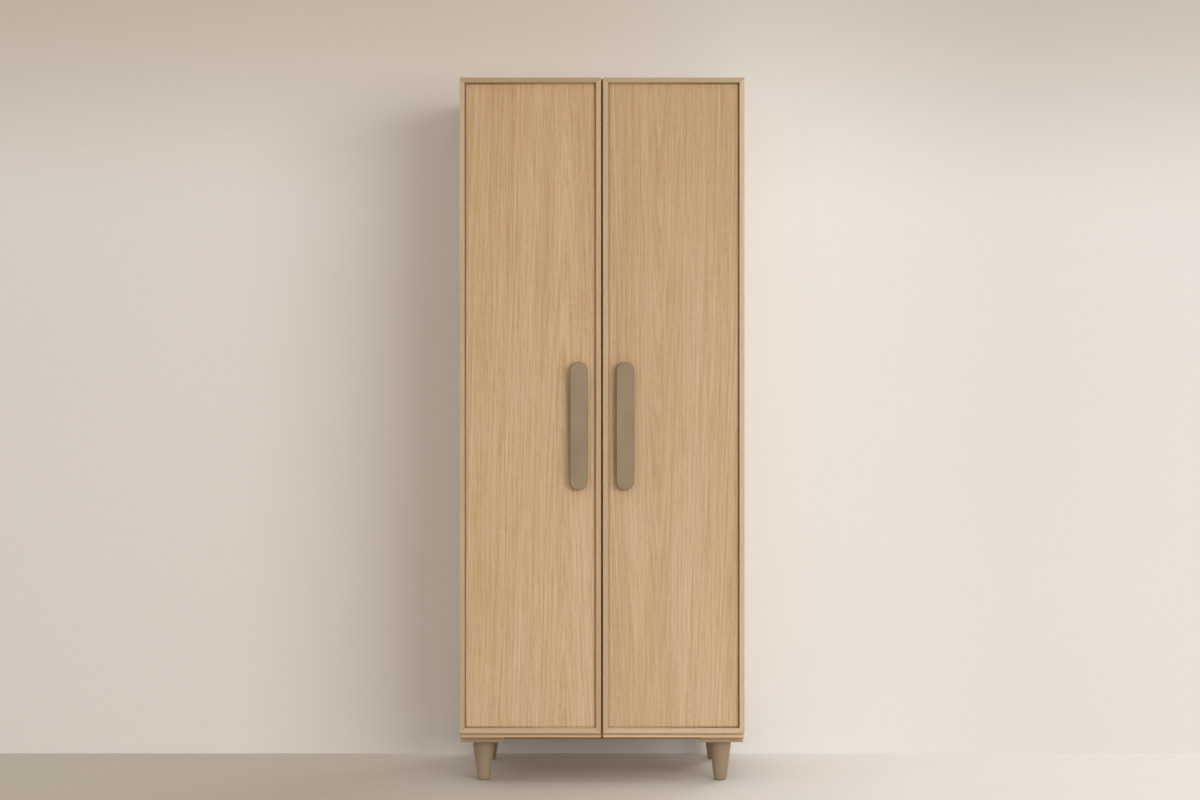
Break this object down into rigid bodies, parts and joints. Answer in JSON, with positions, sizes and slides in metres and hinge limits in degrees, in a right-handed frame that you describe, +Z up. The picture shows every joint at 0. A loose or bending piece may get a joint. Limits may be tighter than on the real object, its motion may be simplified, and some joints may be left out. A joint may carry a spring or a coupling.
{
  "type": "wardrobe",
  "caption": "Tall oak-veneered wardrobe with framed doors, upright pill-shaped handles, a hanging bay, a shelf bay and tapered round legs on square plates.",
  "frame": {"origin": "on the floor, under the middle of the whole outline: halfway across the width, and halfway from the front of the handles to the back", "axes": "+Z up, +X to the viewer's right, the doors face -Y"},
  "size_m": [0.8, 0.5414, 1.985],
  "materials": {
    "oak_veneer": "straight-grained oak veneer, matt lacquer",
    "oak_solid": "solid oak, matt lacquer",
    "taupe_lacquer": "taupe lacquer on turned wood, satin",
    "back_board": "thin fibreboard with a printed oak tone, matt",
    "beech": "fluted beech dowel",
    "steel": "zinc-plated or nickel-plated steel, satin",
    "chrome": "chrome-plated steel, polished",
    "pale_plastic": "moulded plastic, matt",
    "taupe_plastic": "moulded plastic glide, matt"
  },
  "bodies": {
    "cabinet": {"left_side_panel": "oak_veneer", "right_side_panel": "oak_veneer", "top_panel": "oak_veneer", "bottom_panel": "oak_veneer", "centre_partition": "oak_veneer", "left_back_panel": "back_board", "right_back_panel": "back_board", "left_bottom_lip": "oak_solid", "right_bottom_lip": "oak_solid", "hat_shelf": "oak_veneer", "fixed_shelf": "oak_veneer", "loose_shelves": "oak_veneer", "shelf_pins": "steel", "dowels": "beech", "lip_dowels": "beech", "cam_bolts": "steel", "cam_locks": "steel", "back_nails": "steel", "hanging_rail": "chrome", "rail_brackets": "chrome", "bracket_screws": "steel", "wall_brackets": "steel", "magnetic_catches": "pale_plastic", "hinge_plates": "steel", "hinge_plate_screws": "steel", "hinge_arms": "steel", "front_left_leg": "taupe_lacquer", "front_right_leg": "taupe_lacquer", "rear_left_leg": "taupe_lacquer", "rear_right_leg": "taupe_lacquer", "leg_plates": "taupe_lacquer", "leg_plate_screws": "steel", "leg_bolts": "steel", "leg_glides": "taupe_plastic"},
    "left_door": {"left_door_panel": "oak_veneer", "left_outer_stile": "oak_solid", "left_inner_stile": "oak_solid", "left_top_rail": "oak_solid", "left_bottom_rail": "oak_solid", "left_handle_plate": "taupe_lacquer", "left_handle_posts": "taupe_lacquer", "left_handle_bolts": "steel", "left_hinge_cups": "steel", "left_hinge_pins": "chrome", "left_door_screws": "steel", "left_strike_plate": "steel", "left_door_bumpers": "pale_plastic"},
    "right_door": {"right_door_panel": "oak_veneer", "right_outer_stile": "oak_solid", "right_inner_stile": "oak_solid", "right_top_rail": "oak_solid", "right_bottom_rail": "oak_solid", "right_handle_plate": "taupe_lacquer", "right_handle_posts": "taupe_lacquer", "right_handle_bolts": "steel", "right_hinge_cups": "steel", "right_hinge_pins": "chrome", "right_door_screws": "steel", "right_strike_plate": "steel", "right_door_bumpers": "pale_plastic"}
  },
  "joints": [
    {"name": "left_door_hinge", "type": "hinge", "parent": "cabinet", "child": "left_door", "pos_m": [-0.393, -0.23825, 1.06475], "axis": [0, 0, -1], "range_deg": [0, 100]},
    {"name": "right_door_hinge", "type": "hinge", "parent": "cabinet", "child": "right_door", "pos_m": [0.393, -0.23825, 1.06475], "axis": [0, 0, 1], "range_deg": [0, 100]}
  ]
}
